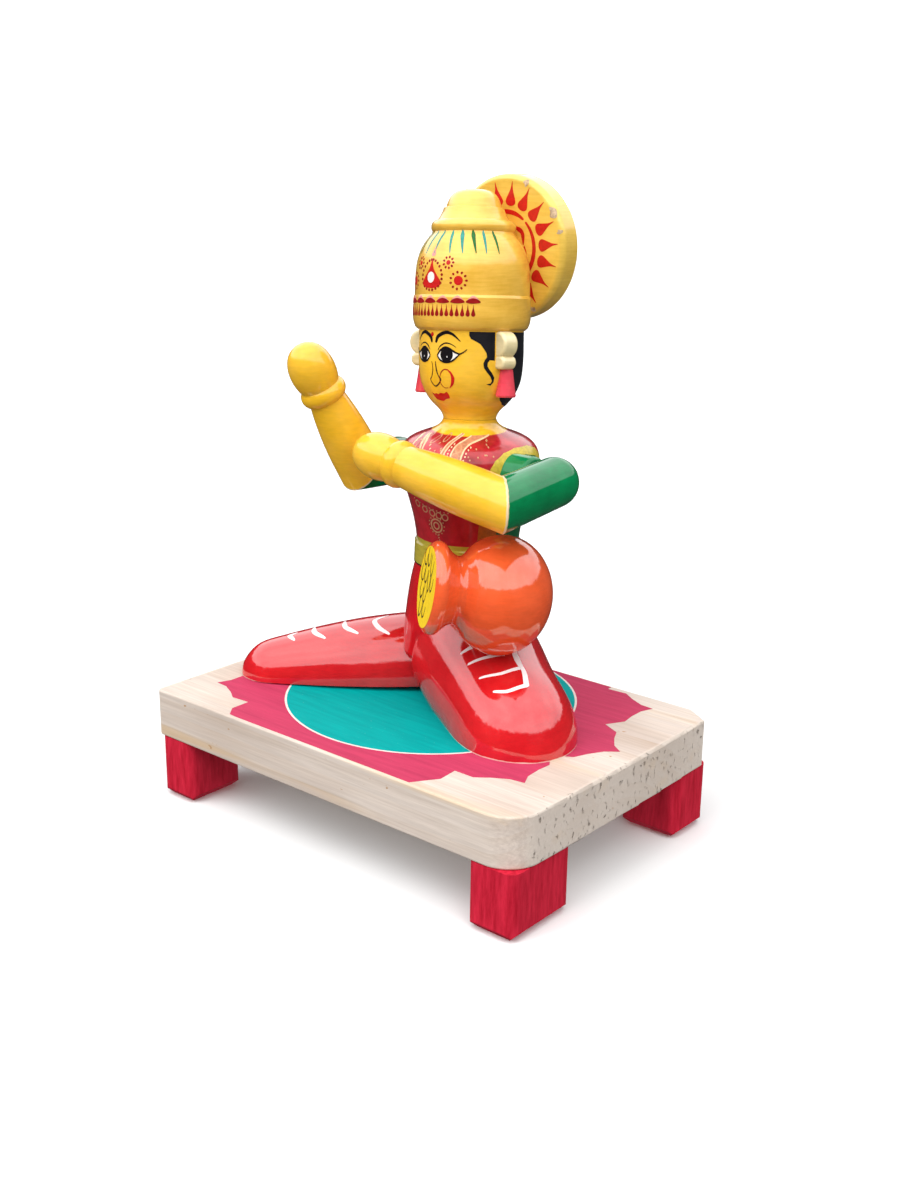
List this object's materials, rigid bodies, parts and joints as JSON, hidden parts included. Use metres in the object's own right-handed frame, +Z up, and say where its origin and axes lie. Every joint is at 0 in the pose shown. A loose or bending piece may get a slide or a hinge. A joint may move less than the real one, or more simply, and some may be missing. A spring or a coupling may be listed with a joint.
{
  "type": "turned wooden seated figure",
  "caption": "Lacquered turned-wood figure of a woman seated cross-legged with a water pot on a footed pine stand; the arms and the head turn on pegs.",
  "frame": {"origin": "on the ground under the middle of the stand", "axes": "+Z up; the figure faces -Y, so its left side is +X; the stand is longest along X"},
  "size_m": [0.178, 0.1216, 0.2386],
  "materials": {
    "pine": "bare pine with clear varnish",
    "crimson_lacquer": "crimson lacquer",
    "red_lacquer": "glossy red lacquer",
    "yellow_lacquer": "glossy golden yellow lacquer",
    "green_lacquer": "glossy deep green lacquer",
    "orange_lacquer": "glossy orange lacquer",
    "cream_paint": "cream paint",
    "pink_paint": "pink-red paint",
    "bamboo": "bare bamboo and hardwood dowel"
  },
  "bodies": {
    "figure": {"board": "pine", "foot_front_left": "crimson_lacquer", "foot_front_right": "crimson_lacquer", "foot_back_left": "crimson_lacquer", "foot_back_right": "crimson_lacquer", "foot_dowels": "bamboo", "seat_dowel": "bamboo", "hip_block": "red_lacquer", "waist_dowel": "bamboo", "torso": "red_lacquer", "neck_peg": "bamboo", "left_shoulder_boss": "green_lacquer", "right_shoulder_boss": "green_lacquer", "left_shoulder_peg": "bamboo", "right_shoulder_peg": "bamboo", "left_leg": "red_lacquer", "right_leg": "red_lacquer", "leg_dowels": "bamboo", "pot": "orange_lacquer", "pot_peg": "bamboo"},
    "head": {"head": "yellow_lacquer", "crown": "yellow_lacquer", "crown_dowel": "bamboo", "halo": "yellow_lacquer", "halo_pin": "bamboo", "left_ear": "cream_paint", "right_ear": "cream_paint", "ear_pins": "bamboo", "left_earring": "pink_paint", "right_earring": "pink_paint", "earring_hooks": "bamboo"},
    "left_arm": {"left_upper_arm": "green_lacquer", "left_forearm": "yellow_lacquer", "left_elbow_dowel": "bamboo"},
    "right_arm": {"right_upper_arm": "green_lacquer", "right_forearm": "yellow_lacquer", "right_elbow_dowel": "bamboo"}
  },
  "joints": [
    {"name": "left_shoulder", "type": "hinge", "parent": "figure", "child": "left_arm", "pos_m": [0.042, 0.0171, 0.1344], "axis": [-1, 0, 0], "range_deg": [-14, 28]},
    {"name": "right_shoulder", "type": "hinge", "parent": "figure", "child": "right_arm", "pos_m": [-0.0375, 0.023, 0.13], "axis": [-1, 0, 0], "range_deg": [-25, 25]},
    {"name": "head_turn", "type": "hinge", "parent": "figure", "child": "head", "pos_m": [0, 0.0208, 0.1515], "axis": [-0.0676, 0.0904, 0.9936], "range_deg": [-60, 60]}
  ]
}
